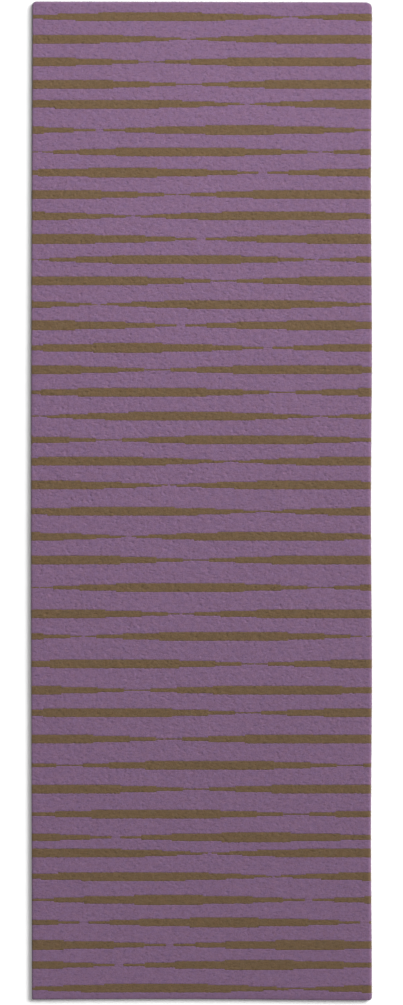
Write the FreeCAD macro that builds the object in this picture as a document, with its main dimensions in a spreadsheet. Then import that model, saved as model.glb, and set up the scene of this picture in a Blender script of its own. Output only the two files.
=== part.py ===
# A runner rug, 8 ft long and about 2 ft 9 in wide, hand-tufted in wool cut pile: a purple ground
# crossed by 43 brown stripes. Each stripe is a chain of long thin spindles, drawn on the tuft grid,
# so its edges climb in steps of one tuft row.
#
# The rug lies flat. X runs across its width, +Y runs to its head end, +Z is up, and the origin is
# the middle of the underside. Its layers, from the floor up, are four binding tapes round the
# backing cloth, the laminating latex, the scrim, the latex pre-coat, the primary cloth with its
# margin turned under, and the pile.

import FreeCAD, Part
import Sketcher
import math
import os

# The driving dimensions, in millimetres, tufts or a plain count.
DESIGN = [
    ("tuft_pitch", 3.06, "from one tuft row to the next, and from tuft to tuft along a row"),
    ("row_count", 796, "tuft rows along the rug"),
    ("column_count", 270, "tufts in a row"),
    ("edge_splay", 1.3, "how far the outermost tufts lean out past the tuft grid"),
    ("pile_height", 9.9, "height of the cut pile"),
    ("corner_radius", 10, "plan radius of the pile's corners"),
    ("rim_radius", 3, "rounding of the pile's upper rim"),
    ("spindle_columns", 224, "length of one spindle, in tufts"),
    ("tip_rows", 0.4, "half the thickness of a stripe at a pinch, in tuft rows"),
    ("crown_rows", 3.3, "how much that half grows from a pinch to a spindle's middle"),
    ("primary_thickness", 0.8, "cloth that the tufts are punched through"),
    ("primary_inset", 3, "from the pile's edge in to the fold of the primary cloth"),
    ("hem_width", 37, "turned-under margin of the primary cloth"),
    ("scrim_thickness", 0.3, "net bedded in the latex"),
    ("backing_thickness", 0.6, "cotton canvas over the back"),
    ("backing_inset", 8, "from the pile's edge in to the raw edge of the backing"),
    ("tape_thickness", 0.6, "cotton binding tape"),
    ("tape_inset", 4, "from the pile's edge in to the tape"),
    ("tape_width", 30, "width of the tape"),
    ("seam_inset", 3, "from either edge of a tape in to its line of stitches"),
    ("groove_width", 1.4, "channel that the thread pulls into the tape"),
    ("groove_depth", 0.35, "depth of that channel"),
    ("stitch_pitch", 12, "from one stitch to the next"),
    ("stitch_length", 8, "thread that shows in one stitch"),
    ("stitch_width", 0.9, "width of the pulled-down thread"),
    ("stitch_thickness", 0.3, "thickness of the pulled-down thread"),
]

# The tufting chart: for each stripe, from the head end, the tuft row of its centre line counted
# from the head end, the tuft column of one of its pinches counted from the left side, and how many
# tufts of ground part two spindles at a pinch.
CHART = [
    (11.75, 206, 2), (29.25, 124.5, 3), (47.5, 95, 3), (65.5, 125, 0), (81.25, 171.5, 4),
    (102, 53.5, 6), (119.5, 6, 3), (136, 184, 7), (153.5, 115.5, 2), (170.75, 80.5, 3),
    (189, 134.5, 7), (205.5, 3, 3), (222.5, 152.5, 0), (241.25, 53, 2), (258, 118.5, 7),
    (276, 188, 7), (293.5, 99.5, 0), (311.5, 199.5, 0), (330.75, 6, 1), (349.5, 61, 0),
    (366.75, 158.5, 1), (385.75, 109, 2), (406.75, 184, 0), (426.75, 77, 4), (445.5, 130.5, 0),
    (467.5, 6, 1), (488.5, 118.5, 2), (506.5, 40.5, 3), (528.5, 177.5, 1), (549.5, 83.5, 0),
    (567.5, 172, 0), (588.5, 109, 0), (609.5, 29.5, 0), (628.5, 130.5, 0), (648.5, 210.5, 0),
    (667, 66.5, 7), (679.75, 141.5, 3), (698.25, 192.5, 2), (717, 220.5, 6), (735, 41, 7),
    (753, 109.5, 6), (769, 69, 7), (787.75, 210.5, 0),
]

# Lengths that follow from the driving dimensions, as expressions on the sheet.
RUG_WIDTH = "(design.column_count * design.tuft_pitch + 2 * design.edge_splay)"
RUG_LENGTH = "(design.row_count * design.tuft_pitch + 2 * design.edge_splay)"
HEM_BOTTOM = "(design.tape_thickness + design.backing_thickness)"
HEM_TOP = f"({HEM_BOTTOM} + design.primary_thickness)"
PILE_BASE = f"({HEM_TOP} + design.primary_thickness)"
HEM_INNER = "(design.primary_inset + design.hem_width)"
TAPE_INNER = "(design.tape_inset + design.tape_width)"

doc = FreeCAD.newDocument("runner_rug")
parts = {}


# ---------------------------------------------------------------- the sheet and shared helpers

def make_sheet():
    """Puts the driving dimensions in a spreadsheet, one aliased cell each."""
    sheet = doc.addObject("Spreadsheet::Sheet", "design")
    for row, (alias, value, meaning) in enumerate(DESIGN, start=1):
        sheet.set(f"A{row}", str(value))
        sheet.setAlias(f"A{row}", alias)
        sheet.set(f"B{row}", meaning)
    doc.recompute()
    return sheet


def read(expression):
    """The present value of an expression on the sheet."""
    return float(doc.design.evalExpression(expression))


def origin_plane(body, role):
    """The origin plane of a body that has the given role."""
    for feature in body.Origin.OriginFeatures:
        if feature.Role == role:
            return feature
    raise ValueError(f"no {role} in {body.Name}")


def add_sketch(body, name, height="0"):
    """A sketch on the body's own XY plane, raised to a height that is an expression."""
    sketch = body.newObject("Sketcher::SketchObject", name)
    sketch.AttachmentSupport = [(origin_plane(body, "XY_Plane"), "")]
    sketch.MapMode = "FlatFace"
    sketch.setExpression("AttachmentOffset.Base.z", height)
    return sketch


def bind(sketch, constraint, name, expression):
    """Adds a named driving constraint whose value is an expression."""
    index = sketch.addConstraint(constraint)
    sketch.renameConstraint(index, name)
    sketch.setExpression(f"Constraints.{name}", expression)


def add_quad(sketch, corners):
    """Four lines through four corners, joined end to end. Returns the index of the first line."""
    first = sketch.GeometryCount
    for start, end in zip(corners, corners[1:] + corners[:1]):
        sketch.addGeometry(Part.LineSegment(FreeCAD.Vector(*start, 0), FreeCAD.Vector(*end, 0)))
    for side in range(4):
        joint = (first + side, 2, first + (side + 1) % 4, 1)
        sketch.addConstraint(Sketcher.Constraint("Coincident", *joint))
    return first


def add_rectangle(sketch, name, width, length):
    """A rectangle centred on the sketch's origin, with its two sizes bound to expressions."""
    first = add_quad(sketch, [(-10, -20), (10, -20), (10, 20), (-10, 20)])
    for side, kind in enumerate(("Horizontal", "Vertical", "Horizontal", "Vertical")):
        sketch.addConstraint(Sketcher.Constraint(kind, first + side))
    sketch.addConstraint(Sketcher.Constraint("Symmetric", first, 1, first + 2, 1, -1, 1))
    bind(sketch, Sketcher.Constraint("Distance", first, 20), f"{name}_width", width)
    bind(sketch, Sketcher.Constraint("Distance", first + 1, 40), f"{name}_length", length)


def add_pad(body, sketch, name, height):
    """Pads a sketch upwards by an expression."""
    pad = body.newObject("PartDesign::Pad", name)
    pad.Profile = sketch
    pad.setExpression("Length", height)
    return pad


def inset_size(inset):
    """The width and length of the rug's plan, drawn in by an inset on every side."""
    return f"{RUG_WIDTH} - 2 * {inset}", f"{RUG_LENGTH} - 2 * {inset}"


def add_plate(body, name, inset, bottom, thickness, hole_inset=None):
    """Pads a plate that follows the rug's plan at an inset, with a hole if one is asked for."""
    sketch = add_sketch(body, f"{name}_outline", bottom)
    add_rectangle(sketch, "outer", *inset_size(inset))
    if hole_inset:
        add_rectangle(sketch, "inner", *inset_size(hole_inset))
    return add_pad(body, sketch, name, thickness)


def round_edges(body, base, name, chosen, radius):
    """Fillets the edges of a feature that the test picks out."""
    doc.recompute()
    names = [f"Edge{i}" for i, edge in enumerate(base.Shape.Edges, start=1) if chosen(edge)]
    fillet = body.newObject("PartDesign::Fillet", name)
    fillet.Base = (base, names)
    fillet.setExpression("Radius", radius)
    doc.recompute()
    return fillet


def is_upright(edge):
    """True for a straight edge that runs up and down."""
    return edge.BoundBox.ZLength > edge.BoundBox.XLength + edge.BoundBox.YLength


def new_body(name):
    """A body that is one sub-part of the rug."""
    body = doc.addObject("PartDesign::Body", f"{name}_body")
    body.Label = name
    parts[name] = body
    return body


# ---------------------------------------------------------------- the cloths and the latex

def make_backing_cloth():
    """The canvas: a flat panel inside the tapes, and a margin that steps up over them."""
    body = new_body("backing_cloth")
    riser_inner = f"({TAPE_INNER} + design.backing_thickness)"
    add_plate(body, "backing_panel", TAPE_INNER, "0", "design.backing_thickness")
    add_plate(body, "backing_riser", TAPE_INNER, "0", HEM_BOTTOM, riser_inner)
    add_plate(body, "backing_margin", "design.backing_inset", "design.tape_thickness",
              "design.backing_thickness", riser_inner)


def make_latex_and_scrim():
    """The laminating latex on the canvas, then the scrim, then the pre-coat under the cloth."""
    laminate_inset = f"({TAPE_INNER} + design.backing_thickness)"
    add_plate(new_body("latex_laminate"), "laminate_coat", laminate_inset,
              "design.backing_thickness", "design.tape_thickness")
    add_plate(new_body("scrim_mesh"), "scrim_net", HEM_INNER, HEM_BOTTOM, "design.scrim_thickness")
    add_plate(new_body("latex_precoat"), "precoat_coat", HEM_INNER,
              f"{HEM_BOTTOM} + design.scrim_thickness",
              "design.primary_thickness - design.scrim_thickness")


def make_primary_cloth():
    """The tufted cloth: a turned-under hem, and the sheet above it, with rounded corners."""
    body = new_body("primary_cloth")
    add_plate(body, "primary_hem", "design.primary_inset", HEM_BOTTOM, "design.primary_thickness",
              HEM_INNER)
    sheet = add_plate(body, "primary_sheet", "design.primary_inset", HEM_TOP,
                      "design.primary_thickness")
    outer_x = read(RUG_WIDTH) / 2 - read("design.primary_inset")

    def is_outer_corner(edge):
        return is_upright(edge) and abs(abs(edge.CenterOfMass.x) - outer_x) < 0.1

    round_edges(body, sheet, "primary_corners", is_outer_corner,
                "design.corner_radius - design.primary_inset")


# ---------------------------------------------------------------- the tapes and their stitches

# Each tape is drawn with its outer edge on the X axis and its inner edge at +Y, then turned and
# moved to its side of the rug: name, the rug's size along the tape, half its size across, turn.
SIDES = [
    ("foot", RUG_WIDTH, RUG_LENGTH, 0),
    ("right", RUG_LENGTH, RUG_WIDTH, 90),
    ("head", RUG_WIDTH, RUG_LENGTH, 180),
    ("left", RUG_LENGTH, RUG_WIDTH, 270),
]


def place_on_side(body, across, turn):
    """Turns a body to a side of the rug and moves it out to the tape's inset."""
    body.Placement.Rotation = FreeCAD.Rotation(FreeCAD.Vector(0, 0, 1), turn)
    outwards = f"({across} / 2 - design.tape_inset)"
    body.setExpression("Placement.Base.x", f"{outwards} * {round(math.sin(math.radians(turn)))}")
    body.setExpression("Placement.Base.y", f"-{outwards} * {round(math.cos(math.radians(turn)))}")


def add_strip(sketch, name, x_start, y_middle, length, width):
    """A rectangle that starts at an x and is centred on a y, all bound to expressions."""
    first = add_quad(sketch, [(1, 1), (9, 1), (9, 2), (1, 2)])
    for side, kind in enumerate(("Horizontal", "Vertical", "Horizontal", "Vertical")):
        sketch.addConstraint(Sketcher.Constraint(kind, first + side))
    bind(sketch, Sketcher.Constraint("Distance", first, 8), f"{name}_length", length)
    bind(sketch, Sketcher.Constraint("Distance", first + 1, 1), f"{name}_width", width)
    bind(sketch, Sketcher.Constraint("DistanceX", -1, 1, first, 1, 1), f"{name}_x", x_start)
    bind(sketch, Sketcher.Constraint("DistanceY", -1, 1, first, 1, 1), f"{name}_y",
         f"{y_middle} - {width} / 2")


def seam_lines():
    """The middles of a tape's two lines of stitches, measured in from its outer edge."""
    return [("outer_seam", "design.seam_inset"),
            ("inner_seam", "design.tape_width - design.seam_inset")]


def make_tape(side, along, across, turn):
    """A mitred strip of binding tape, with the channels that its two seams pull into it."""
    body = new_body(f"binding_tape_{side}")
    outer_length = f"({along} - 2 * design.tape_inset)"
    sketch = add_sketch(body, f"tape_{side}_outline")
    first = add_quad(sketch, [(-50, 0), (50, 0), (40, 10), (-40, 10)])
    sketch.addConstraint(Sketcher.Constraint("Horizontal", first))
    sketch.addConstraint(Sketcher.Constraint("Symmetric", first, 1, first, 2, -1, 1))
    sketch.addConstraint(Sketcher.Constraint("Symmetric", first + 2, 1, first + 2, 2, -2))
    bind(sketch, Sketcher.Constraint("Distance", first, 100), "outer_length", outer_length)
    bind(sketch, Sketcher.Constraint("Distance", first + 2, 80), "inner_length",
         f"{outer_length} - 2 * design.tape_width")
    bind(sketch, Sketcher.Constraint("DistanceY", -1, 1, first + 2, 1, 10), "across",
         "design.tape_width")
    tape = add_pad(body, sketch, f"tape_{side}_strip", "design.tape_thickness")
    grooves = add_sketch(body, f"tape_{side}_groove_outline")
    for name, middle in seam_lines():
        add_strip(grooves, name, f"design.tape_width - {outer_length} / 2", middle,
                  f"{outer_length} - 2 * design.tape_width", "design.groove_width")
    cut = body.newObject("PartDesign::Pocket", f"tape_{side}_grooves")
    cut.Profile = grooves
    cut.Reversed = True
    cut.setExpression("Length", "design.groove_depth")
    place_on_side(body, across, turn)
    doc.recompute()
    if cut.Shape.Volume >= tape.Shape.Volume:
        raise ValueError(f"the grooves of {body.Label} cut nothing")


def make_stitches(side, along, across, turn):
    """The running stitches of a tape's two seams, lying in its channels."""
    body = new_body(f"tape_stitches_{side}")
    sketch = add_sketch(body, f"stitch_{side}_outline",
                        "design.groove_depth - design.stitch_thickness")
    groove_length = read(f"{along} - 2 * design.tape_inset - 2 * design.tape_width")
    pitch = read("design.stitch_pitch")
    count = int(groove_length / pitch)
    row_length = f"({count - 1} * design.stitch_pitch)"
    for name, middle in seam_lines():
        add_strip(sketch, name, f"-({row_length} + design.stitch_length) / 2", middle,
                  "design.stitch_length", "design.stitch_width")
    stitch = add_pad(body, sketch, f"stitch_{side}_pair", "design.stitch_thickness")
    row = body.newObject("PartDesign::LinearPattern", f"stitch_{side}_row")
    row.Originals = [stitch]
    row.Direction = (sketch, ["H_Axis"])
    row.Occurrences = count
    row.setExpression("Length", row_length)
    body.Tip = row
    place_on_side(body, across, turn)


# ---------------------------------------------------------------- the pile

def make_pile_slab():
    """The whole pile, ground and stripes together, with rounded corners and a rounded rim."""
    body = doc.addObject("PartDesign::Body", "pile_slab")
    block = add_plate(body, "pile_block", "0", PILE_BASE, "design.pile_height")
    corners = round_edges(body, block, "pile_corners", is_upright, "design.corner_radius")
    top = read(f"{PILE_BASE} + design.pile_height")

    def is_rim(edge):
        return edge.BoundBox.ZMin > top - 0.1

    round_edges(body, corners, "pile_rim", is_rim, "design.rim_radius")
    return body


def add_tuft_run(name, row, offset_rows, middle_column, gap):
    """The brown tufts of one spindle in one tuft row.

    A stripe is half as thick, in rows, as tip + crown * (1 - (1 - d / s)^2) at a distance d from
    a pinch, where s is half a spindle. So the row whose centre is offset_rows from the stripe's
    centre line is brown along spindle * sqrt(1 - (offset_rows - tip) / crown), and no further
    than the gap that parts it from the next spindle.
    """
    run = doc.addObject("Part::Box", name)
    beyond_tip = f"max(0; {offset_rows} - design.tip_rows)"
    length = (f"(min(design.spindle_columns - {gap}; design.spindle_columns"
              f" * sqrt(1 - {beyond_tip} / design.crown_rows)) * design.tuft_pitch)")
    run.setExpression("Length", length)
    run.setExpression("Width", "design.tuft_pitch")
    run.setExpression("Height", "design.pile_height")
    run.setExpression("Placement.Base.x", f"({middle_column} - design.column_count / 2)"
                                          f" * design.tuft_pitch - {length} / 2")
    run.setExpression("Placement.Base.y",
                      f"(design.row_count / 2 - {row + 1}) * design.tuft_pitch")
    run.setExpression("Placement.Base.z", PILE_BASE)
    return run


def make_stripe(number, centre_row, pinch_column, gap, slab):
    """One stripe: every tuft run of its spindles, fused, and trimmed to the pile."""
    name = f"stripe_{number:02d}"
    spindle = int(read("design.spindle_columns"))
    half_thickness = read("design.tip_rows + design.crown_rows")
    rows = [row for row in range(math.floor(centre_row - half_thickness),
                                 math.ceil(centre_row + half_thickness))
            if abs(row + 0.5 - centre_row) < half_thickness]
    columns_wide = read("design.column_count")
    first_middle = pinch_column - spindle / 2
    middles = [first_middle + k * spindle for k in (-1, 0, 1, 2)
               if -spindle / 2 < first_middle + k * spindle < columns_wide + spindle / 2]
    runs = []
    for middle in middles:
        for row in rows:
            offset = abs(row + 0.5 - centre_row)
            runs.append(add_tuft_run(f"{name}_run_{len(runs) + 1}", row, offset, middle, gap))
    yarn = doc.addObject("Part::MultiFuse", f"{name}_yarn")
    yarn.Shapes = runs
    yarn.Refine = True
    stripe = doc.addObject("Part::Common", f"{name}_pile")
    stripe.Base = slab
    stripe.Tool = yarn
    stripe.Label = name
    parts[name] = stripe
    return yarn


def make_ground(slab, yarns):
    """The purple ground: all the pile that isn't a stripe."""
    stripes = doc.addObject("Part::Compound", "all_stripes")
    stripes.Links = yarns
    ground = doc.addObject("Part::Cut", "ground")
    ground.Base = slab
    ground.Tool = stripes
    ground.Label = "ground_pile"
    parts["ground_pile"] = ground


# ---------------------------------------------------------------- checks and files

def check_document():
    """Stops if any object failed, or any sub-part has no valid solid."""
    for item in doc.Objects:
        if "Invalid" in item.State or "Error" in item.State:
            raise ValueError(f"{item.Label} failed: {item.State}")
    for name, item in parts.items():
        if item.Shape.isNull() or not item.Shape.isValid() or not item.Shape.Solids:
            raise ValueError(f"{name} has no valid solid")


def write_parts():
    """Writes each sub-part to its own file, and prints its size."""
    os.makedirs("parts", exist_ok=True)
    for name, item in parts.items():
        item.Shape.exportStep(f"parts/{name}.step")
        print(name, len(item.Shape.Solids), "solids", round(item.Shape.Volume), "mm3")


make_sheet()
make_backing_cloth()
make_latex_and_scrim()
make_primary_cloth()
for side in SIDES:
    make_tape(*side)
    make_stitches(*side)
pile_slab = make_pile_slab()
yarns = [make_stripe(number, *place, pile_slab) for number, place in enumerate(CHART, start=1)]
make_ground(pile_slab, yarns)
doc.recompute()
check_document()
write_parts()
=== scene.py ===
"""The looks of a hand-tufted wool runner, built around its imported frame.

Everything is in metres. The rug lies flat on z = 0 with its head end at +Y and its right side at +X.
The cut pile is one lattice of yarn ends, shared out to the stripes and to the ground between them.
"""

import math

import bpy
import numpy as np
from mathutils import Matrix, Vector


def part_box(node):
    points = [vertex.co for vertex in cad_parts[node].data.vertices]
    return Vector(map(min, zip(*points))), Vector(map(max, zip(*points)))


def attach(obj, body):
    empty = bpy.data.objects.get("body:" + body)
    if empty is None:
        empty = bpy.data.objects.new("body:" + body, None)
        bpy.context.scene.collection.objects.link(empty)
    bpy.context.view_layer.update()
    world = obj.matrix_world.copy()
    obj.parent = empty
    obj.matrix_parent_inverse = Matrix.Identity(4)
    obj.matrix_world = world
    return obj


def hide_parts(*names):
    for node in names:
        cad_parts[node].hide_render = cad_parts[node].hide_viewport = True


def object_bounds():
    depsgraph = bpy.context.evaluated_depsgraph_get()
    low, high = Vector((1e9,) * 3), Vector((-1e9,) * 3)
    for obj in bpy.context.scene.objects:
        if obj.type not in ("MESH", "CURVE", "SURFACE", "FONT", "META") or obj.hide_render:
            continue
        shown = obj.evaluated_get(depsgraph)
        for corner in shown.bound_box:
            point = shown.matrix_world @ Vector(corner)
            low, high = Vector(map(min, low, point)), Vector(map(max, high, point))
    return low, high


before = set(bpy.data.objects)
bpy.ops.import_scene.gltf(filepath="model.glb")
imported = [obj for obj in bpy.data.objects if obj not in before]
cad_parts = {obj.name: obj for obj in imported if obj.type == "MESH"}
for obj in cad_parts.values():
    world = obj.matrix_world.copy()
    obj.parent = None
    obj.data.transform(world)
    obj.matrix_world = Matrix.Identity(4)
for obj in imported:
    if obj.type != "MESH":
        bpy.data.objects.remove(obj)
cad_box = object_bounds()

MM = 0.001

# The pile's lattice has a line for each tuft and a line between each two tufts.
TUFT = 3.06 * MM
HALF_TUFT = TUFT / 2
RIM_LINE = 0.4 * MM          # the lattice's extra line, this far inside the pile's edge
# The pile's corners in plan, by the signs of x and y: hand-cut, so no two are quite alike.
CORNER_RADII = {(-1, -1): 3 * MM, (1, -1): 8 * MM, (-1, 1): 10 * MM, (1, 1): 15 * MM}
SHARP_RIM = 2.5 * MM         # radius where the pile's top turns over at the left and the foot
ROUND_RIM = 6.5 * MM         # the same at the right and the head, where the nap leans inwards
SHOULDER_DEPTH = 0.6 * MM    # the pile also sinks a little over a wider strip along its edges
FOOT_DEPTH = 0.9 * MM        # and sinks by this much more along the foot
SHOULDER_WIDTH = 14 * MM
WALL_LEVELS = 5              # rings of vertices down the pile's outer side
MOST_RUFFLED = 0.4           # y of the place where the pile is most ruffled
ROOT_DRAW = 3.4 * MM         # how far the outer yarns' roots stand inside their tips
ROOT_TAPER = 12 * MM         # the yarns further in than this stand upright
RIM_FIBRES = 12              # loose fibres that stand out at each point of the rim
FIBRE_CORNERS = 4            # three round a fibre's root, and its tip
FIBRE_RADIUS = 0.16 * MM     # at its root
HIDDEN_ROOT = 0.4 * MM       # how deep a loose fibre starts inside the pile's side

# The back: a cotton tape is sewn over the canvas's edge on each of these sides, which face outwards.
SIDES = {"foot": (0, -1), "right": (1, 0), "head": (0, 1), "left": (-1, 0)}
CLOTH_CORNER = 10 * MM       # plan radius of the primary cloth's corners
TAPE_CORNER = 9 * MM         # and of the corners where two tapes meet
SEAM_INSET = 3 * MM          # from either edge of a tape in to its line of stitches
STITCH_PITCH = 12 * MM
STITCH_LENGTH = 8 * MM

# Points on each ring of a cloth with a profile: along a long side, a short side and round a corner.
LONG_STEPS = 400
SHORT_STEPS = 136
CORNER_STEPS = 8

HEAD_LIGHT = (0.3, cad_box[1].y + 0.1, 2.1)      # the lamp above the rug's head end

RNG = np.random.default_rng(43)


# ---------------------------------------------------------------- camera

def make_camera():
    """A long lens straight above the rug, as far up as makes its perspective negligible."""
    height = 12.0                          # above the pile
    frame_length = 2.4567                  # of the picture's long side, at the pile's top
    shift = -0.0045                        # along y, from the rug's middle to the picture's
    data = bpy.data.cameras.new("camera")
    data.sensor_width = 36
    data.lens = data.sensor_width * height / frame_length
    data.clip_start = 0.1
    data.clip_end = 200
    camera = bpy.data.objects.new("camera", data)
    camera.location = (0, shift, cad_box[1].z + height)
    bpy.context.scene.collection.objects.link(camera)
    bpy.context.scene.camera = camera


# ---------------------------------------------------------------- mesh helpers

def new_piece(name, vertices, polygons, material, smooth=True):
    """A mesh object from a list of vertices and a list of polygons, each a tuple of vertex indices."""
    mesh = bpy.data.meshes.new(name)
    mesh.from_pydata(vertices, [], polygons)
    mesh.polygons.foreach_set("use_smooth", np.full(len(mesh.polygons), smooth))
    mesh.update()
    return add_object(name, mesh, material)


def add_object(name, mesh, material):
    """Links a mesh to the scene with its material."""
    mesh.materials.append(material)
    piece = bpy.data.objects.new(name, mesh)
    bpy.context.scene.collection.objects.link(piece)
    return piece


def mesh_from_arrays(name, points, smooth, flat=()):
    """A mesh from (n, k) arrays of k-cornered faces, some shaded smooth and some flat.

    The indices may be sparse: only the points in use are kept.
    """
    faces = [np.asarray(f, np.int64) for f in (*smooth, *flat)]
    used, loops = np.unique(np.concatenate([f.ravel() for f in faces]), return_inverse=True)
    sizes = np.concatenate([np.full(len(f), f.shape[1]) for f in faces])
    starts = np.concatenate([[0], np.cumsum(sizes)[:-1]])
    mesh = bpy.data.meshes.new(name)
    mesh.vertices.add(len(used))
    mesh.vertices.foreach_set("co", points[used].astype(np.float32).ravel())
    mesh.loops.add(len(loops))
    mesh.loops.foreach_set("vertex_index", loops.astype(np.int32))
    mesh.polygons.add(len(sizes))
    mesh.polygons.foreach_set("loop_start", starts.astype(np.int32))
    mesh.polygons.foreach_set("use_smooth", np.arange(len(sizes)) < sum(len(f) for f in smooth))
    mesh.update(calc_edges=True)
    return mesh, used


def soft_noise(shape, across, along):
    """Smooth random field with unit spread; across and along are its blur radii in cells."""
    field = RNG.standard_normal(shape)
    fy = np.fft.fftfreq(shape[0])[:, None]
    fx = np.fft.rfftfreq(shape[1])[None, :]
    blur = np.exp(-2 * math.pi ** 2 * ((along * fy) ** 2 + (across * fx) ** 2))
    field = np.fft.irfft2(np.fft.rfft2(field) * blur, s=shape)
    return (field - field.mean()) / field.std()


# ---------------------------------------------------------------- the pile's lattice

def lattice_lines(low, high):
    """Line positions in one direction: half a tuft apart, and closer where the pile turns over."""
    halves = 2 * math.floor((high - low) / TUFT)
    inner = (low + high) / 2 + (np.arange(halves + 1) - halves / 2) * HALF_TUFT
    return np.concatenate([[low, low + RIM_LINE], inner, [high - RIM_LINE, high]])


def cell_centres(lines):
    """Middle of each cell, with the edge's narrow cells counted as part of the last whole one."""
    centres = (lines[:-1] + lines[1:]) / 2
    return np.clip(centres, centres[2], centres[-3])


def stripe_span(node, columns):
    """Lowest and highest y of a stripe on each line x = column, or nan where the stripe is broken."""
    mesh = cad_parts[node].data
    points = np.array([v.co for v in mesh.vertices])
    edges = np.array([e.vertices for e in mesh.edges])
    at_base = points[:, 2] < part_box(node)[0].z + 0.1 * MM
    edges = edges[at_base[edges].all(axis=1)]
    a, b = points[edges[:, 0]], points[edges[:, 1]]
    swap = a[:, 0] > b[:, 0]
    a[swap], b[swap] = b[swap].copy(), a[swap].copy()
    crossed = (a[:, :1] < columns) & (columns < b[:, :1])
    run = np.where(b[:, :1] > a[:, :1], b[:, :1] - a[:, :1], 1)
    y = a[:, 1:2] + (columns - a[:, :1]) / run * (b[:, 1:2] - a[:, 1:2])
    lowest = np.where(crossed, y, np.inf).min(axis=0)
    highest = np.where(crossed, y, -np.inf).max(axis=0)
    broken = ~crossed.any(axis=0)
    lowest[broken] = highest[broken] = np.nan
    return lowest, highest


def label_cells(x_lines, y_lines, stripes):
    """The piece that each lattice cell belongs to: a stripe's number, or after those a ground band's.

    Also marks the lattice points on a stripe's line where the stripe is broken.
    """
    columns, rows = cell_centres(x_lines), cell_centres(y_lines)
    middles = np.array([(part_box(s)[0].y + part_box(s)[1].y) / 2 for s in stripes])
    bands = (middles[:, None] > rows[None, :]).sum(axis=0)
    label = np.repeat((len(stripes) + bands)[:, None], len(columns), axis=1)
    trace = np.zeros((len(y_lines), len(x_lines)), bool)
    for number, stripe in enumerate(stripes):
        lowest, highest = stripe_span(stripe, columns)
        with np.errstate(invalid="ignore"):
            inside = (rows[:, None] > lowest) & (rows[:, None] < highest)
        label[inside] = number
        broken = np.isnan(lowest)
        line = np.abs(y_lines - middles[number]).argmin()
        trace[line, :-1] |= broken
        trace[line, 1:] |= broken
    return label, trace


def corner_radius(x, y):
    """The plan radius of the corner nearest to each point."""
    radius = np.zeros(x.shape)
    for (x_side, y_side), value in CORNER_RADII.items():
        radius[(x * x_side >= 0) & (y * y_side >= 0)] = value
    return radius


def shape_plan(x, y, half_width, half_length):
    """Rounds the lattice's corners in plan and gives each point's distance from the pile's edge."""
    radius = corner_radius(x, y)
    u = (np.abs(x) - (half_width - radius)) / radius
    v = (np.abs(y) - (half_length - radius)) / radius
    edge = np.minimum(half_width - np.abs(x), half_length - np.abs(y))
    corner = (u > 0) & (v > 0)
    u, v, r = u[corner], v[corner], radius[corner]
    edge[corner] = r * (1 - np.sqrt(np.maximum(0, 1 - (1 - u ** 2) * (1 - v ** 2))))
    x[corner] = np.sign(x[corner]) * (half_width - r * (1 - u * np.sqrt(1 - v ** 2 / 2)))
    y[corner] = np.sign(y[corner]) * (half_length - r * (1 - v * np.sqrt(1 - u ** 2 / 2)))
    return np.maximum(edge, 0)


def wander(x, y, half_width, half_length):
    """How far the pile's sides wander, in x and in y: a millimetre or two, as a hand-cut edge does."""
    across, along = x / half_width, y / half_length
    reach = 30 * MM                   # a side's wander fades over about this distance from it
    wave = 0.8                        # length of the right side's waves

    def near(distance):
        return np.exp(-distance / reach)

    left = 0.8 * MM + 1.4 * MM * np.cos(0.9 * math.pi * along) - 0.6 * MM * along
    right = 1.0 * MM + 1.2 * MM * np.cos(2 * math.pi * (y + half_length) / wave)
    head = 0.5 * MM - 0.9 * MM * across
    foot = 0.7 * MM - 1.1 * MM * np.cos(0.9 * math.pi * (across + 0.15)) + 0.9 * MM * across
    return (right * near(half_width - x) - left * near(half_width + x),
            head * near(half_length - y) - foot * near(half_length + y))


def pile_relief(shape):
    """Height of the cut pile about its mean level: tufts, crinkles, short partings and broad waves."""
    columns, rows = np.arange(shape[1]) % 2, np.arange(shape[0]) % 2
    parity = columns[None, :] + rows[:, None]          # 0 on a tuft, 1 between two, 2 between four
    tufts = -0.12 * MM * parity
    loose = 0.08 * MM * soft_noise(shape, 0.7, 0.7)
    crinkle = 0.15 * MM * soft_noise(shape, 1.8, 1.5)
    waves = 0.24 * MM * soft_noise(shape, 16, 16)
    partings = -0.78 * MM * np.clip(-soft_noise(shape, 1.7, 1.0) - 1.1, 0, 1.3)
    return tufts + loose + crinkle + waves + partings


def ruffling(y):
    """How ruffled the pile is: most a third of the way down from the head, and least at the foot."""
    to_foot = 1.6                     # from the most ruffled place to the least
    return 1.10 - 0.70 * ((y - MOST_RUFFLED) / to_foot) ** 2


def turned_over(edge, lean):
    """How far the pile's top drops as it turns over at its rim."""
    radius = SHARP_RIM + (ROUND_RIM - SHARP_RIM) * lean
    into_rim = np.clip(radius - edge, 0, radius)
    return radius - np.sqrt(radius ** 2 - into_rim ** 2)


def sunk(edge, from_foot):
    """How far the pile sinks along its edges, and again along its foot."""

    def strip(distance):
        return np.clip(1 - distance / SHOULDER_WIDTH, 0, 1) ** 2

    return SHOULDER_DEPTH * strip(edge) + FOOT_DEPTH * strip(from_foot)


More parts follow.
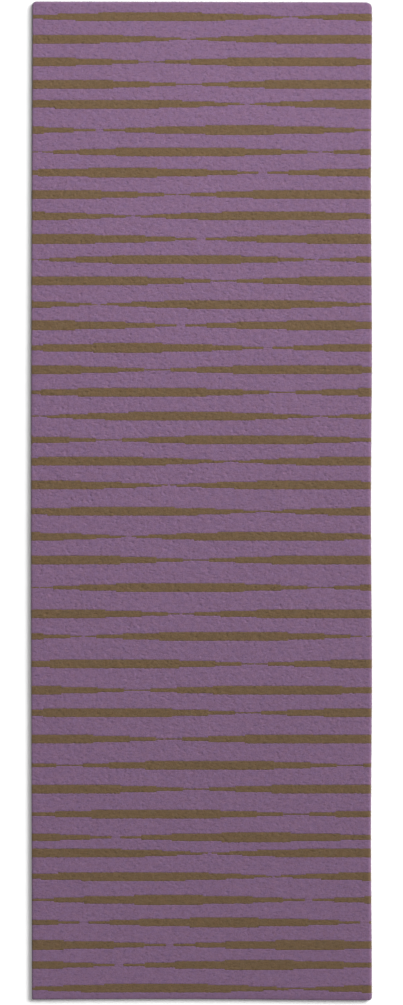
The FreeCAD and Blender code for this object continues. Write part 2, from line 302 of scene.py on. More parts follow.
def build_lattice(node):
    """Points of the pile's top, base, outer side and loose fibres, with its lines and its rim."""
    low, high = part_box(node)
    half_width, half_length = (high.x - low.x) / 2, (high.y - low.y) / 2
    x_lines, y_lines = lattice_lines(low.x, high.x), lattice_lines(low.y, high.y)
    x, y = (g.copy() for g in np.meshgrid(x_lines, y_lines))
    edge = shape_plan(x, y, half_width, half_length)

    to_left_or_foot = np.minimum(half_width + x, half_length + y)
    to_right_or_head = np.minimum(half_width - x, half_length - y)
    lean = np.clip(to_left_or_foot / (to_left_or_foot + to_right_or_head), 0, 1)
    inside = np.clip((edge - RIM_LINE) / (2 * TUFT), 0, 1)
    x_wander, y_wander = wander(x, y, half_width, half_length)
    x += x_wander + 0.30 * MM * inside * soft_noise(x.shape, 0.8, 0.8)
    y += y_wander + 0.30 * MM * inside * soft_noise(x.shape, 0.8, 0.8)

    relief = pile_relief(x.shape) * ruffling(y) * (0.35 + 0.65 * inside)
    z = high.z - turned_over(edge, lean) - sunk(edge, half_length + y) + relief
    top = np.stack([x, y, z], axis=-1).reshape(-1, 3)
    drawn = np.clip(1 - (half_width - np.abs(x)) / ROOT_TAPER, 0, 1)
    base = top.copy()
    base[:, 0] -= (np.sign(x) * ROOT_DRAW * drawn).ravel()
    base[:, 2] = low.z

    rim = rim_order(x.shape)
    outward = away_from_middle(top[rim, 0], top[rim, 1], half_width, half_length)
    side = outer_side(top[rim], outward, low.z)
    third_ring = side[2]
    fibres = rim_fibres(top[rim], third_ring, outward, 0.5 + 0.9 * lean.ravel()[rim])
    points = np.concatenate([top, base, *side, fibres])
    return x_lines, y_lines, points, rim


def away_from_middle(x, y, half_width, half_length):
    """The outward direction in plan at each point of the rim; it turns evenly round the corners."""
    radius = corner_radius(x, y)
    core = np.stack([np.clip(x, radius - half_width, half_width - radius),
                     np.clip(y, radius - half_length, half_length - radius)], axis=1)
    outward = np.stack([x, y], axis=1) - core
    return outward / np.linalg.norm(outward, axis=1)[:, None]


def outer_side(rim_points, outward, base_height):
    """Rings of points down the pile's side, which flares a little and draws in to its roots."""
    rib = np.where(np.arange(len(rim_points)) % 2 == 0, 1, -1) * RNG.uniform(0.5, 1, len(rim_points))
    rings = []
    for level in range(1, WALL_LEVELS + 1):
        down = level / WALL_LEVELS
        flare = 0.25 * MM * math.sin(math.pi * down)
        stand = flare * (1 + 0.8 * rib) - ROOT_DRAW * down ** 2
        ring = rim_points.copy()
        ring[:, :2] += outward * stand[:, None]
        ring[:, 2] += (base_height - ring[:, 2]) * down
        rings.append(ring)
    return rings


def rim_fibres(upper, lower, outward, share):
    """Fine pointed fibres that stand out of the pile's side, between an upper and a lower ring.

    share scales their length, and they are longest near the top.
    """
    shape = (len(upper), RIM_FIBRES, 1)
    forward = np.column_stack([-outward[:, 1], outward[:, 0], np.zeros(len(upper))])[:, None]
    outward = np.column_stack([outward, np.zeros(len(upper))])[:, None]
    rise = np.array([0, 0, 1])
    down = RNG.uniform(0, 1, shape)
    root = upper[:, None] + (lower - upper)[:, None] * down
    root = root + forward * RNG.uniform(-0.8, 0.8, shape) * MM
    reach = outward * RNG.uniform(0.4, 1.0, shape) + rise * RNG.normal(0.3, 0.3, shape)
    length = share[:, None, None] * (1.1 - 0.85 * down) * (0.5 + 3.6 * RNG.beta(1.3, 2.8, shape)) * MM
    tip = root + (reach + forward * RNG.normal(0, 0.4, shape)) * length
    root = root - HIDDEN_ROOT * outward
    turns = np.radians([90, 210, 330])
    corners = [root + FIBRE_RADIUS * (math.cos(a) * forward + math.sin(a) * rise) for a in turns]
    return np.stack([*corners, tip], axis=2).reshape(-1, 3)


def rim_order(shape):
    """Flat indices of the lattice's outermost points, anticlockwise from the lowest corner."""
    rows, columns = shape
    index = np.arange(rows * columns).reshape(shape)
    return np.concatenate([index[0, :-1], index[:-1, -1], index[-1, :0:-1], index[:0:-1, 0]])


class Numbering:
    """Where each kind of pile point stands in the one array of points."""

    def __init__(self, shape, rim):
        self.count = shape[0] * shape[1]
        self.place = {int(p): n for n, p in enumerate(rim)}
        self.rim_length = len(rim)
        self.first_fibre = 2 * self.count + WALL_LEVELS * self.rim_length

    def side(self, point, level):
        """The point of the outer side under a rim point; level 0 is the rim point itself."""
        if level == 0:
            return point
        return 2 * self.count + (level - 1) * self.rim_length + self.place[point]

    def fibres(self, starts):
        """Faces of the fibres that stand out at these rim points. Each fibre is a thin closed spike."""
        places = np.array([self.place[p] for p in starts], int)
        first = (places[:, None] * RIM_FIBRES + np.arange(RIM_FIBRES)).reshape(-1, 1, 1) * FIBRE_CORNERS
        spike = np.array([[0, 1, 3], [1, 2, 3], [2, 0, 3], [0, 2, 1]])
        return (self.first_fibre + first + spike).reshape(-1, 3)

    def foot(self, point):
        """The point of the base under a point of the top."""
        if point in self.place:
            return self.side(point, WALL_LEVELS)
        return point + self.count

    def between(self, point):
        """The side points under a rim point, between its top and its base; none elsewhere."""
        if point not in self.place:
            return []
        return [self.side(point, level) for level in range(1, WALL_LEVELS)]


def outline_edges(label):
    """Every lattice edge where one piece meets another or the outside.

    Gives (piece, start, end, outer) rows that keep the piece on the left, going anticlockwise.
    """
    rows, columns = label.shape
    index = np.arange((rows + 1) * (columns + 1)).reshape(rows + 1, columns + 1)
    padded = np.pad(label, 1, constant_values=-1)
    found = []
    below, above = padded[:-1, 1:-1], padded[1:, 1:-1]
    j, i = np.nonzero(below != above)
    a, b = index[j, i], index[j, i + 1]
    found.append((above[j, i], a, b, below[j, i]))
    found.append((below[j, i], b, a, above[j, i]))
    left, right = padded[1:-1, :-1], padded[1:-1, 1:]
    j, i = np.nonzero(left != right)
    a, b = index[j, i], index[j + 1, i]
    found.append((left[j, i], a, b, right[j, i]))
    found.append((right[j, i], b, a, left[j, i]))
    piece, start, end, other = (np.concatenate(part) for part in zip(*found))
    keep = piece >= 0
    return piece[keep], start[keep], end[keep], other[keep] < 0


def trace_loops(following):
    """Closed loops of points from a map of each point to the next."""
    loops = []
    while following:
        first, point = following.popitem()
        loop = [first]
        while point != first:
            loop.append(point)
            point = following.pop(point)
        loops.append(loop)
    return loops


def pile_piece(name, cells, edges, points, numbering, width):
    """One closed piece of pile: its cut top, its sides down to the cloth, and its flat base."""
    j, i = cells
    corner = j * width + i
    tops = np.stack([corner, corner + 1, corner + width + 1, corner + width], axis=1)
    side_quads, walls, following = [], [], {}
    for a, b, outer in zip(*(e.tolist() for e in edges)):
        following[a] = b
        if outer:
            for level in range(WALL_LEVELS):
                side_quads.append((numbering.side(b, level), numbering.side(a, level),
                                   numbering.side(a, level + 1), numbering.side(b, level + 1)))
        else:
            walls.append([b, a, *numbering.between(a), numbering.foot(a),
                          numbering.foot(b), *reversed(numbering.between(b))])
    bases = [[numbering.foot(p) for p in reversed(loop)] for loop in trace_loops(following)]
    starts, _, outer = edges
    smooth = [tops, np.array(side_quads, int).reshape(-1, 4), numbering.fibres(starts[outer].tolist())]
    return mesh_from_arrays(name, points, smooth, [[face] for face in walls + bases])


def build_pile(stripe_wool, ground_wool):
    """Every stripe and every band of ground between them, each a piece of its own."""
    stripes = sorted(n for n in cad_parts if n.startswith("stripe_"))
    x_lines, y_lines, points, rim = build_lattice("ground_pile")
    label, trace = label_cells(x_lines, y_lines, stripes)
    shape = (len(y_lines), len(x_lines))
    numbering = Numbering(shape, rim)
    tint = np.zeros(len(points), np.float32)
    tint[:numbering.count] = trace.ravel()
    piece_of, start, end, outer = outline_edges(label)
    pieces = []
    for number in range(2 * len(stripes) + 1):
        is_stripe = number < len(stripes)
        if is_stripe:
            name, node = stripes[number] + "_pile", stripes[number]
        else:
            name, node = f"ground_band_{number - len(stripes) + 1:02d}", "ground_pile"
        mine = piece_of == number
        mesh, used = pile_piece(name, np.nonzero(label == number), (start[mine], end[mine], outer[mine]),
                                points, numbering, shape[1])
        if not is_stripe:
            mesh.attributes.new("stripe_trace", "FLOAT", "POINT").data.foreach_set("value", tint[used])
        piece = add_object(name, mesh, stripe_wool if is_stripe else ground_wool)
        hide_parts(node)
        pieces.append(piece)
    return pieces


# ---------------------------------------------------------------- cloths

def plan_loop(half_width, half_length, radius):
    """Points round a rounded rectangle, anticlockwise. Loops of any two sizes pair up point by point."""
    arcs = []
    for x_side, y_side, start in ((1, -1, -90), (1, 1, 0), (-1, 1, 90), (-1, -1, 180)):
        angles = np.radians(start + np.linspace(0, 90, CORNER_STEPS + 1))
        centre = np.array([x_side * (half_width - radius), y_side * (half_length - radius)])
        arcs.append(centre + radius * np.stack([np.cos(angles), np.sin(angles)], axis=1))
    parts = []
    for arc, following, steps in zip(arcs, arcs[1:] + arcs[:1], (LONG_STEPS, SHORT_STEPS) * 2):
        share = np.linspace(0, 1, steps + 1)[1:-1, None]
        parts += [arc, arc[-1] + share * (following[0] - arc[-1])]
    return np.concatenate(parts)


def ring_cloth(name, outline, profile, material, sway):
    """A cloth with the same cross-section on all its sides, between an upper and a lower flat panel.

    profile lists (inset from the outline, height, corner radius) from the upper panel, round the
    cloth's edge, to the lower one. sway is how far the edge wanders in and out.
    """
    half_width, half_length = outline
    count = 2 * (LONG_STEPS + SHORT_STEPS) + 4 * CORNER_STEPS
    inwards = sway * soft_noise((1, count), 12, 0)[0]
    reach = 12 * MM                   # the sway fades over about this distance from the edge
    rings = []
    for inset, height, radius in profile:
        near_edge = math.exp(-inset / reach)
        ring = plan_loop(half_width - inset, half_length - inset, radius)
        ring *= 1 - (inwards * near_edge)[:, None] / np.array([half_width, half_length])
        rings.append(np.column_stack([ring, np.full(count, height)]))
    start = np.arange(len(profile) - 1)[:, None] * count
    here, there = np.arange(count), (np.arange(count) + 1) % count
    quads = np.stack([start + here, start + here + count, start + there + count, start + there], axis=-1)
    last = (len(profile) - 1) * count
    panels = [[here], [last + here[::-1]]]
    mesh, _ = mesh_from_arrays(name, np.concatenate(rings), [quads.reshape(-1, 4)], panels)
    return add_object(name, mesh, material)


def make_primary_cloth(material):
    """The tufted cloth, with its margin folded under in a soft round edge."""
    low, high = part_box("primary_cloth")
    thick = (high.z - low.z) / 2                     # the fold is two layers
    middle = low.z + thick
    gap = 0.03 * MM                                  # half the crack between the two layers
    hem = high.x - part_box("latex_precoat")[1].x      # the hem stops at the latex

    def at(inset, height):
        return inset, height, max(CLOTH_CORNER - inset, 1 * MM)

    top = [at(inset * MM, high.z) for inset in (60, 30, 12, 5, 2)]
    fold = [at(thick * (1 - math.cos(a)), middle + thick * math.sin(a))
            for a in np.radians(np.linspace(80, -80, 9))]
    under = [at(inset * MM, low.z) for inset in (2, 5, 12, 24)]
    raw_edge = [at(hem, low.z), at(hem, middle - gap)]
    crease = [at(2 * MM, middle - gap), at(0.9 * MM, middle), at(2 * MM, middle + gap)]
    profile = top + fold + under + raw_edge + crease + [at(60 * MM, middle + gap)]
    cloth = ring_cloth("primary_weave", (high.x, high.y), profile, material, 0.25 * MM)
    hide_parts("primary_cloth")
    flat = [2 * (half - thick + math.pi / 2 * thick + hem - thick) for half in (high.x, high.y)]
    return cloth, flat


def make_backing_canvas(material):
    """The canvas over the back: flat on the floor, then up and over the tapes' inner edges."""
    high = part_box("backing_cloth")[1]
    thick = 0.6 * MM
    inner = high.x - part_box("latex_laminate")[1].x        # the canvas has stepped up by here
    step = inner - thick
    far_in = inner + 60 * MM
    upper_panel = [(far_in, thick), (inner + 2 * MM, thick), (inner + 0.10 * MM, thick)]
    upper_step = [(inner, thick + 0.10 * MM), (inner - 0.05 * MM, high.z - 0.12 * MM),
                  (inner - 0.18 * MM, high.z), (inner - 2 * MM, high.z)]
    edge = [(0.3 * MM, high.z), (0, high.z - 0.1 * MM), (0, thick + 0.1 * MM), (0.3 * MM, thick)]
    lower_step = [(step - 2 * MM, thick), (step - 0.10 * MM, thick), (step, thick - 0.12 * MM),
                  (step + 0.05 * MM, 0.10 * MM), (step + 0.15 * MM, 0)]
    lower_panel = [(step + 2 * MM, 0), (far_in, 0)]
    profile = [(*ring, 1 * MM) for ring in upper_panel + upper_step]
    profile += [(*ring, 2 * MM) for ring in edge]
    profile += [(*ring, 1 * MM) for ring in lower_step + lower_panel]
    cloth = ring_cloth("backing_canvas_cloth", (high.x, high.y), profile, material, 0.3 * MM)
    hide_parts("backing_cloth")
    return cloth


def outer_edge(side):
    """How far a tape's outer edge is from the rug's middle."""
    low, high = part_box(f"binding_tape_{side}")
    x, y = SIDES[side]
    return max(x * low.x, x * high.x) + max(y * low.y, y * high.y)


def on_side(side, along, inward, height):
    """World points on one side of the rug: along it, in from the tapes' outer edge, and up."""
    x, y = SIDES[side]
    reach = outer_edge(side) - inward
    return np.stack([x * reach - y * along, y * reach + x * along,
                     np.broadcast_to(height, along.shape)], axis=-1)


def round_corners(points):
    """Moves tape points that lie near a corner of the rug, so that the square corner becomes an arc."""
    outer = np.array([outer_edge("right"), outer_edge("head")])
    core = np.clip(points[..., :2], TAPE_CORNER - outer, outer - TAPE_CORNER)
    away = points[..., :2] - core
    square = np.abs(away).max(axis=-1, keepdims=True)
    direct = np.maximum(np.linalg.norm(away, axis=-1, keepdims=True), 1e-9)
    return np.concatenate([core + away * square / direct, points[..., 2:]], axis=-1)


def tape_size(side):
    """Half the length of a tape's outer edge, and its width."""
    low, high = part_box(f"binding_tape_{side}")
    return max(high.x - low.x, high.y - low.y) / 2, min(high.x - low.x, high.y - low.y)


def tape_grid(half, width):
    """A flat mitred tape's points: how far along its side each is, and how far in from its edge."""
    step = STITCH_PITCH / 4
    steps = int((half - step / 2) / step)
    lines = np.concatenate([[-half], np.arange(-steps, steps + 1) * step, [half]])
    beside_edge = np.array([0, 0.3, 1.2]) * MM
    beside_seam = np.array([-0.9, -0.7, -0.4, 0, 0.4, 0.7, 0.9]) * MM
    across = np.concatenate([beside_edge, SEAM_INSET + beside_seam,
                             np.linspace(6 * MM, width - 6 * MM, 6),
                             width - SEAM_INSET + beside_seam, width - beside_edge[::-1]])
    along, inward = np.meshgrid(lines, across)
    mitre_run = 60 * MM               # the lines lean into the mitre over this much of each end
    mitre = np.clip(np.abs(along) / mitre_run - half / mitre_run + 1, 0, 1)
    return along - np.sign(along) * mitre * inward, inward


def make_tape(side, material):
    """A mitred tape: its two seams pull channels into it, and its outer edge curls up to the hem."""
    half, width = tape_size(side)
    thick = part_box(f"binding_tape_{side}")[1].z
    along, inward = tape_grid(half, width)
    from_edge = np.minimum(inward, width - inward)
    channel = np.clip(1.4 - np.abs(from_edge - SEAM_INSET) / (0.65 * MM), 0, 1)
    sewn = np.abs(along) < half - width - 2 * MM
    between = 0.5 - 0.5 * np.cos(2 * math.pi * along / STITCH_PITCH)        # 1 between two stitches
    channel = channel * sewn * (1 - 0.5 * np.clip(2 * between - 1, 0, 1))
    channel_depth = 0.36 * MM
    curl = 0.4 * MM * np.clip(1 - inward / (4 * MM), 0, 1) ** 2
    selvage = 0.12 * MM * np.clip(1 - from_edge / (0.6 * MM), 0, 1)
    ripple = 0.03 * MM * np.abs(soft_noise(along.shape, 2, 2))
    under = on_side(side, along, inward, channel_depth * channel + curl + selvage + ripple)
    upper = on_side(side, along, inward, thick + curl - selvage - ripple)
    tape = slab(f"tape_{side}_twill", round_corners(upper), round_corners(under), material)
    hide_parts(f"binding_tape_{side}")
    return tape


def slab(name, upper, under, material):
    """A thin closed piece between two grids of points, the upper one anticlockwise from above."""
    rows, columns = upper.shape[:2]
    count = rows * columns
    index = np.arange(count).reshape(rows, columns)
    faces = np.stack([index[:-1, :-1], index[:-1, 1:], index[1:, 1:], index[1:, :-1]], axis=-1)
    faces = faces.reshape(-1, 4)
    rim = rim_order((rows, columns))
    onward = np.roll(rim, -1)
    edge = np.stack([rim, rim + count, onward + count, onward], axis=-1)
    points = np.concatenate([upper.reshape(-1, 3), under.reshape(-1, 3)])
    mesh, _ = mesh_from_arrays(name, points, [faces, faces[:, ::-1] + count, edge])
    return add_object(name, mesh, material)


def tube_faces(centres, across, up):
    """Points, quads and end faces of oval yarns that share a count of rings.

    centres and across are (yarn, ring, 3), and across and the (ring,) up are the oval's half sizes.
    Seen along the yarn, with up above, across points to the left.
    """
    yarns, rings = centres.shape[:2]
    corners = 8
    angles = np.arange(corners) * 2 * math.pi / corners
    rise = np.stack([np.zeros(rings), np.zeros(rings), up], axis=-1)
    points = (centres[:, :, None] + across[:, :, None] * np.cos(angles)[:, None]
              + rise[None, :, None] * np.sin(angles)[:, None])
    index = np.arange(yarns * rings * corners).reshape(yarns, rings, corners)
    onward = np.roll(index, -1, axis=2)
    quads = np.stack([index[:, :-1], onward[:, :-1], onward[:, 1:], index[:, 1:]], axis=-1)
    ends = np.concatenate([index[:, 0, ::-1], index[:, -1]])
    return points.reshape(-1, 3), quads.reshape(-1, 4), ends


def tube_piece(name, groups, material):
    """One piece from several sets of yarns."""
    points, sides, ends, offset = [], [], [], 0
    for group_points, group_sides, group_ends in groups:
        points.append(group_points)
        sides.append(group_sides + offset)
        ends.append(group_ends + offset)
        offset += len(group_points)
    mesh, _ = mesh_from_arrays(name, np.concatenate(points), sides, ends)
    return add_object(name, mesh, material)


def make_stitches(side, material):
    """Two rows of sewing thread in a tape's channels, each stitch diving into the tape at its ends."""
    low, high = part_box(f"tape_stitches_{side}")
    width = tape_size(side)[1]
    count = round((max(high.x - low.x, high.y - low.y) - STITCH_LENGTH) / STITCH_PITCH) + 1
    t = np.linspace(-1, 1, 9)
    places = (np.arange(count) - (count - 1) / 2) * STITCH_PITCH
    along = np.tile(places, 2) + RNG.normal(0, 0.12 * MM, 2 * count)
    inward = np.repeat([SEAM_INSET, width - SEAM_INSET], count) + RNG.normal(0, 0.03 * MM, 2 * count)
    slant = RNG.normal(0.03, 0.02, 2 * count)
    run = t[None, :] * STITCH_LENGTH / 2
    sag = 0.20 * MM + 0.10 * MM * t ** 6
    centres = on_side(side, along[:, None] + run, inward[:, None] + slant[:, None] * run, sag[None, :])
    thickness = 0.2 + 0.8 * np.sqrt(1 - np.abs(t) ** 5 * 0.96)
    inwards = -np.array([*SIDES[side], 0])
    across = np.broadcast_to(inwards * (0.40 * MM * thickness)[:, None], centres.shape)
    threads = tube_faces(centres, across, 0.13 * MM * thickness)
    thread = tube_piece(f"stitches_{side}_thread", [threads], material)
    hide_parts(f"tape_stitches_{side}")
    return thread


def make_scrim(material):
    """An open net laid in the latex: flat yarns along the rug, glued on flat yarns across it."""
    low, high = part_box("scrim_mesh")
    pitch, yarn, layer = 5 * MM, 0.9 * MM, (high.z - low.z) / 2
    layers = []
    for axis, height in ((1, low.z + 1.5 * layer), (0, low.z + 0.5 * layer)):
        reach, room = high[axis], high[1 - axis] - yarn
        places = np.linspace(-room, room, round(2 * room / pitch) + 1)
        run = np.linspace(-reach, reach, round(2 * reach / (60 * MM)) + 1)
        centres = np.zeros((len(places), len(run), 3))
        centres[:, :, axis] = run
        centres[:, :, 1 - axis] = places[:, None] + 0.15 * MM * soft_noise((len(places), len(run)), 1, 0)
        centres[:, :, 2] = height
        across = np.zeros(centres.shape)
        across[:, :, 1 - axis] = yarn / 2 * (1 if axis == 0 else -1)
        thickness = np.full(len(run), layer / 2)
        layers.append(tube_faces(centres, across, thickness))
    net = tube_piece("scrim_net", layers, material)
    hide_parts("scrim_mesh")
    return net


def make_back():
    """Everything under the primary cloth: canvas, tapes and their stitches, net and latex."""
    canvas = make_backing_canvas(woven("backing_canvas", (0.44, 0.38, 0.27), (0.60, 0.52, 0.39),
                                       thread=0.5 * MM, depth=0.12 * MM))
    scrim = make_scrim(spun("scrim_cotton", (0.58, 0.54, 0.45), (0.74, 0.70, 0.58), lay=0.4 * MM))
    thread = spun("sewing_thread", (0.24, 0.19, 0.12), (0.36, 0.29, 0.19), lay=0.35 * MM)
    pieces = [canvas, scrim]
    for side, outward in SIDES.items():
        cotton = woven(f"tape_cotton_{side}", (0.33, 0.27, 0.18), (0.48, 0.40, 0.28),
                       thread=0.4 * MM, depth=0.12 * MM, turn=math.pi / 2 * abs(outward[1]), twill=True)
        pieces += [make_tape(side, cotton), make_stitches(side, thread)]
    latex = rubber("latex", (0.66, 0.60, 0.46), (0.76, 0.70, 0.54))
    for node in ("latex_precoat", "latex_laminate"):
        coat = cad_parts[node]
        for material_slot in coat.material_slots:
            material_slot.material = latex
    return pieces


# ---------------------------------------------------------------- materials

class Nodes:
    """Short names for the few node types that the materials use."""

    def __init__(self, name):
        self.material = bpy.data.materials.new(name)
        self.material.use_nodes = True
        self.tree = self.material.node_tree
        self.shader = self.tree.nodes["Principled BSDF"]

    def add(self, kind, **inputs):
        """A node with some sockets set or linked; a key is a socket's name with _ for a space."""
        node = self.tree.nodes.new(kind)
        self.put(node, **inputs)
        return node

    def put(self, node, **inputs):
        """Sets or links some sockets of a node."""
        for key, value in inputs.items():
            self.feed(node.inputs[key.replace("_", " ")], value)

    def feed(self, socket, value):
        """Links a socket to another node's output, or sets it to a plain value."""
        if isinstance(value, bpy.types.NodeSocket):
            self.tree.links.new(value, socket)
        else:
            socket.default_value = value

    def place(self, stretch=(1, 1, 1), turn=0.0):
        """Position on the rug, stretched for a pattern that is longer one way."""
        position = self.add("ShaderNodeTexCoord").outputs["Object"]
        return self.add("ShaderNodeMapping", Vector=position, Scale=stretch,
                        Rotation=(0, 0, turn)).outputs["Vector"]

    def noise(self, where, size, detail=2.0, roughness=0.5):
        """Soft noise whose blotches are about size across."""
        return self.add("ShaderNodeTexNoise", Vector=where, Scale=1 / size, Detail=detail,
                        Roughness=roughness).outputs["Fac"]

    def ramp(self, value, *stops):
        """A colour ramp through (position, colour) stops; a plain number is a grey."""
        node = self.add("ShaderNodeValToRGB", Fac=value)
        elements = node.color_ramp.elements
        for n, (position, colour) in enumerate(stops):
            element = elements[n] if n < 2 else elements.new(position)
            element.position = position
            element.color = (*colour, 1) if isinstance(colour, tuple) else (colour, colour, colour, 1)
        return node.outputs["Color"]

    def mix(self, factor, a, b, blend="MIX"):
        """Colour a, or b where factor is 1."""
        node = self.tree.nodes.new("ShaderNodeMix")
        node.data_type = "RGBA"
        node.blend_type = blend
        for socket, value in ((node.inputs[0], factor), (node.inputs[6], a), (node.inputs[7], b)):
            self.feed(socket, (*value, 1) if isinstance(value, tuple) else value)
        return node.outputs[2]

    def times(self, colour, by):
        """One colour multiplied by another."""
        return self.mix(1.0, colour, by, "MULTIPLY")

    def math(self, operation, a, b=0.0):
        """The result of a sum, product, sine and so on; b is there for those that take two values."""
        node = self.tree.nodes.new("ShaderNodeMath")
        node.operation = operation
        self.feed(node.inputs[0], a)
        self.feed(node.inputs[1], b)
        return node.outputs[0]

    def bump(self, height, distance, strength, under=None):
        """A bumped normal, on top of another where under is given."""
        inputs = {"Height": height, "Distance": distance, "Strength": strength}
        if under is not None:
            inputs["Normal"] = under
        return self.add("ShaderNodeBump", **inputs).outputs["Normal"]


def wool(name, dark, mid, light, sheen_tint, trace=None):
    """Cut wool: yarn tones that drift over a few tufts, painted shade in the partings and between the
    yarn ends, and fine fibre ends.
    """
    n = Nodes(name)
    along_rows = n.place(stretch=(0.5, 1, 1), turn=0.12)
    shade = n.noise(along_rows, 5 * MM, detail=1)
    colour = n.ramp(shade, (0.20, dark), (0.5, mid), (0.80, light))
    drift = n.noise(n.place(), 14 * MM, detail=2)
    colour = n.times(colour, n.ramp(drift, (0.25, (0.96, 1.0, 1.03)), (0.75, (1.04, 1.0, 0.97))))
    dye = n.noise(n.place(), 3.0 * MM, detail=0)
    colour = n.times(colour, n.ramp(dye, (0.25, (1.0, 1.0, 0.93)), (0.75, (1.0, 1.0, 1.07))))
    # Painted shade: dark dashes where the pile parts between tufts; the same field dents the pile in the
    # bump below.
    shaded_partings = n.noise(along_rows, 4 * MM, detail=1)
    colour = n.times(colour, n.ramp(shaded_partings, (0.30, 0.79), (0.41, 1.0)))
    # Painted shade: darker in the gaps between the cut yarn ends and lighter on their tips, on the same
    # cells that the bump raises.
    ends = n.add("ShaderNodeTexVoronoi", Vector=n.place(stretch=(1, 1, 0.25)), Scale=1 / (1.7 * MM))
    ends = ends.outputs["Distance"]
    colour = n.times(colour, n.ramp(ends, (0.35, 1.06), (0.75, 0.90)))
    fibre = n.noise(n.place(stretch=(1, 1, 0.3)), 0.5 * MM, detail=2)
    colour = n.times(colour, n.ramp(fibre, (0.3, 0.90), (0.7, 1.08)))
    if trace is not None:
        seen = n.add("ShaderNodeAttribute")
        seen.attribute_name = "stripe_trace"
        colour = n.mix(n.math("MULTIPLY", seen.outputs["Fac"], 0.35), colour, trace)
    normal = n.bump(shaded_partings, 1.2 * MM, 0.35)
    normal = n.bump(n.math("MULTIPLY", ends, -1.0), 0.7 * MM, 0.5, under=normal)
    normal = n.bump(fibre, 0.5 * MM, 0.6, under=normal)
    n.put(n.shader, Base_Color=colour, Normal=normal, Roughness=0.95)
    n.put(n.shader, Sheen_Weight=0.25, Sheen_Roughness=0.5, Sheen_Tint=(*sheen_tint, 1))
    n.put(n.shader, Specular_IOR_Level=0.12)
    return n.material


def woven(name, dark, light, thread, depth, turn=0.0, twill=False):
    """Cotton cloth: plain weave, or herringbone twill, with painted shade in the weave's hollows, slubs
    and slight uneven dye.
    """
    n = Nodes(name)
    axes = n.add("ShaderNodeSeparateXYZ", Vector=n.place(turn=turn))
    x, y = axes.outputs["X"], axes.outputs["Y"]
    turns = math.pi / thread                             # in radians for each metre
    if twill:
        keep_positive = 10.0
        zigzag = n.math("PINGPONG", n.math("ADD", x, keep_positive), 5 * MM)
        crossing = n.math("SINE", n.math("MULTIPLY", n.math("ADD", y, zigzag), turns))
    else:
        weft = n.math("SINE", n.math("MULTIPLY", y, turns))
        warp = n.math("SINE", n.math("MULTIPLY", x, turns))
        crossing = n.math("MULTIPLY", weft, warp)
    height = n.math("ADD", n.math("MULTIPLY", crossing, 0.5), 0.5)
    slub = n.noise(n.place(stretch=(1, 0.1, 1), turn=turn), 1.5 * MM, detail=2)
    blotch = n.noise(n.place(), 60 * MM, detail=2)
    # Painted shade: the colour follows the weave's height, darker where the threads dip under one
    # another.
    colour = n.ramp(height, (0.1, dark), (0.8, light))
    colour = n.times(colour, n.ramp(slub, (0.3, 0.90), (0.7, 1.05)))
    colour = n.times(colour, n.ramp(blotch, (0.3, (0.95, 0.945, 0.93)), (0.7, 1.0)))
    normal = n.bump(height, depth, 0.8)
    normal = n.bump(slub, 0.3 * MM, 0.3, under=normal)
    n.put(n.shader, Base_Color=colour, Normal=normal, Roughness=0.88)
    n.put(n.shader, Specular_IOR_Level=0.2, Sheen_Weight=0.1, Sheen_Roughness=0.5)
    return n.material


def spun(name, dark, light, lay):
    """Twisted cotton thread or yarn: fine slanting plies, with painted shade in the grooves between them.
    """
    n = Nodes(name)
    plies = n.noise(n.place(turn=0.7), lay, detail=1)
    fuzz = n.noise(n.place(), 0.25 * MM, detail=2)
    # Painted shade: the plies' colour is darker where the bump sinks between them.
    colour = n.ramp(plies, (0.35, dark), (0.65, light))
    colour = n.times(colour, n.ramp(fuzz, (0.3, 0.92), (0.7, 1.04)))
    n.put(n.shader, Base_Color=colour, Normal=n.bump(plies, 0.15 * MM, 0.7), Roughness=0.75)
    n.put(n.shader, Specular_IOR_Level=0.3, Sheen_Weight=0.1)
    return n.material


def rubber(name, dark, light):
    """Dried latex: cream, faintly blistered, with chalk filler showing as small pale specks."""
    n = Nodes(name)
    cloud = n.noise(n.place(), 25 * MM, detail=4, roughness=0.6)
    specks = n.noise(n.place(), 0.9 * MM, detail=1)
    colour = n.ramp(cloud, (0.3, dark), (0.7, light))
    colour = n.mix(n.ramp(specks, (0.62, 0.0), (0.72, 0.5)), colour, (0.86, 0.84, 0.78))
    normal = n.bump(n.noise(n.place(), 3 * MM, detail=3), 0.4 * MM, 0.5)
    roughness = n.ramp(cloud, (0.3, 0.42), (0.7, 0.58))
    n.put(n.shader, Base_Color=colour, Normal=normal, Roughness=roughness, Specular_IOR_Level=0.45)
    return n.material


def floor_paint(name):
    """Matt white floor that evens out the light: greyer near the head light, and glowing far from it."""
    n = Nodes(name)
    from_light = n.add("ShaderNodeVectorMath", Vector=n.place())
    from_light.operation = "DISTANCE"
    from_light.inputs[1].default_value = (*HEAD_LIGHT[:2], 0)
    distance = n.math("MULTIPLY", from_light.outputs["Value"], 0.4)
    paint = n.ramp(distance, (0.1, 0.80), (1.0, 0.975))
    glow = n.ramp(distance, (0.2, 0.0), (1.0, 0.13))
    n.put(n.shader, Base_Color=paint, Emission_Color=(1, 1, 1, 1), Emission_Strength=glow)
    n.put(n.shader, Roughness=0.9, Specular_IOR_Level=0.1)
    return n.material


def backdrop_light(name):
    """Even white, for the studio wall far behind."""
    n = Nodes(name)
    n.put(n.shader, Base_Color=(0, 0, 0, 1), Emission_Color=(1, 1, 1, 1), Emission_Strength=1.0)
    n.put(n.shader, Specular_IOR_Level=0.0)
    return n.material


# ---------------------------------------------------------------- studio

def area_light(name, place, aim, size, power):
    """A round lamp, out of the camera's sight. Its size is its diameter."""
    data = bpy.data.lights.new(name, "AREA")
    data.shape = "DISK"
    data.size = size
    data.energy = power
    light = bpy.data.objects.new(name, data)
    light.location = place
    light.rotation_euler = (Vector(aim) - Vector(place)).to_track_quat("-Z", "Y").to_euler()
    light.visible_camera = False
    bpy.context.scene.collection.objects.link(light)


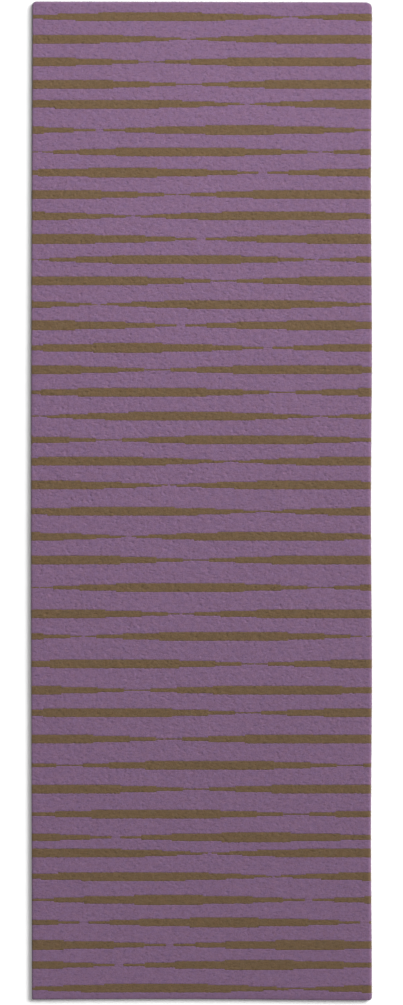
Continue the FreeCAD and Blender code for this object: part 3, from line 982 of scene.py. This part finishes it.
def sun_light(name, azimuth, elevation, strength, spread):
    """Parallel key light from azimuth, anticlockwise from +X, at that elevation, in degrees."""
    turn, rise = math.radians(azimuth), math.radians(elevation)
    towards = Vector((math.cos(turn) * math.cos(rise), math.sin(turn) * math.cos(rise), math.sin(rise)))
    data = bpy.data.lights.new(name, "SUN")
    data.energy = strength
    data.angle = math.radians(spread)
    light = bpy.data.objects.new(name, data)
    light.rotation_euler = towards.to_track_quat("Z", "Y").to_euler()
    light.location = towards * 5
    bpy.context.scene.collection.objects.link(light)


def make_stage():
    """A large white floor, and a white wall far round it that only the camera sees."""
    reach = 75.0                      # from the middle to the floor's edges and to the wall
    wall_height = 60.0
    corners = [(-reach, -reach, 0), (reach, -reach, 0), (reach, reach, 0), (-reach, reach, 0)]
    floor = new_piece("floor", corners, [(0, 1, 2, 3)], floor_paint("floor_paint"), smooth=False)
    sides = 96
    ring = [(reach * math.cos(t), reach * math.sin(t)) for t in np.arange(sides) * 2 * math.pi / sides]
    wall = [(x, y, z) for z in (0.0, wall_height) for x, y in ring]
    faces = [(k, (k + 1) % sides, sides + (k + 1) % sides, sides + k) for k in range(sides)]
    backdrop = new_piece("backdrop", wall, faces, backdrop_light("backdrop_light"))
    backdrop.visible_shadow = False
    backdrop.visible_diffuse = False
    backdrop.visible_glossy = False


def make_light():
    """Even light from all round, a soft key from the right and the head, and a lamp over the head."""
    world = bpy.data.worlds.new("studio")
    world.use_nodes = True
    world.node_tree.nodes["Background"].inputs["Color"].default_value = (1, 1, 1, 1)
    world.node_tree.nodes["Background"].inputs["Strength"].default_value = 0.218
    bpy.context.scene.world = world
    bpy.context.scene.view_settings.view_transform = "Standard"
    bpy.context.scene.view_settings.look = "None"

    sun_light("key", azimuth=34, elevation=34.5, strength=4.19, spread=33)
    area_light("head_light", HEAD_LIGHT, aim=(*HEAD_LIGHT[:2], 0), size=1.0, power=22.9)


# ---------------------------------------------------------------- put together

def main():
    """The camera, the rug from its pile down to its back, and the studio round it."""
    make_camera()
    ground_wool = wool("ground_wool",
                       dark=(0.160, 0.093, 0.164), mid=(0.179, 0.104, 0.181), light=(0.196, 0.116, 0.196),
                       sheen_tint=(0.62, 0.48, 0.62), trace=(0.17, 0.095, 0.10))
    stripe_wool = wool("stripe_wool",
                       dark=(0.116, 0.074, 0.040), mid=(0.130, 0.083, 0.046), light=(0.143, 0.093, 0.053),
                       sheen_tint=(0.58, 0.50, 0.38))
    pile = build_pile(stripe_wool, ground_wool)
    cotton = woven("primary_cotton", (0.49, 0.44, 0.37), (0.68, 0.62, 0.51),
                   thread=0.6 * MM, depth=0.15 * MM)
    primary, primary_flat = make_primary_cloth(cotton)
    for piece in [*pile, primary, *make_back()]:
        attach(piece, "root")
    make_stage()
    make_light()


main()
